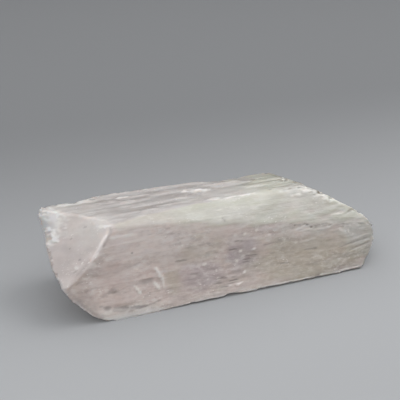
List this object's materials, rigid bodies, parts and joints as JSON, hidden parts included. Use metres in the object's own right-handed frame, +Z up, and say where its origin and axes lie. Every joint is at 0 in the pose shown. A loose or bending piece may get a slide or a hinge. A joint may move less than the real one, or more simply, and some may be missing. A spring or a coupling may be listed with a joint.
{
  "type": "danburite crystal",
  "caption": "Pale pink, cloudy danburite crystal: a striated wedge-ended prism lying on a flat side, with chips and growth ridges.",
  "frame": {"origin": "centre of the bounding box, on the face that the crystal rests on", "axes": "+X along the crystal, from the chisel end to the broken end; -Y out of the front face; +Z up"},
  "size_m": [0.082, 0.0242, 0.0201],
  "materials": {
    "crystal": "satin"
  },
  "bodies": {
    "root": {"danburite_crystal": "crystal"}
  },
  "joints": []
}
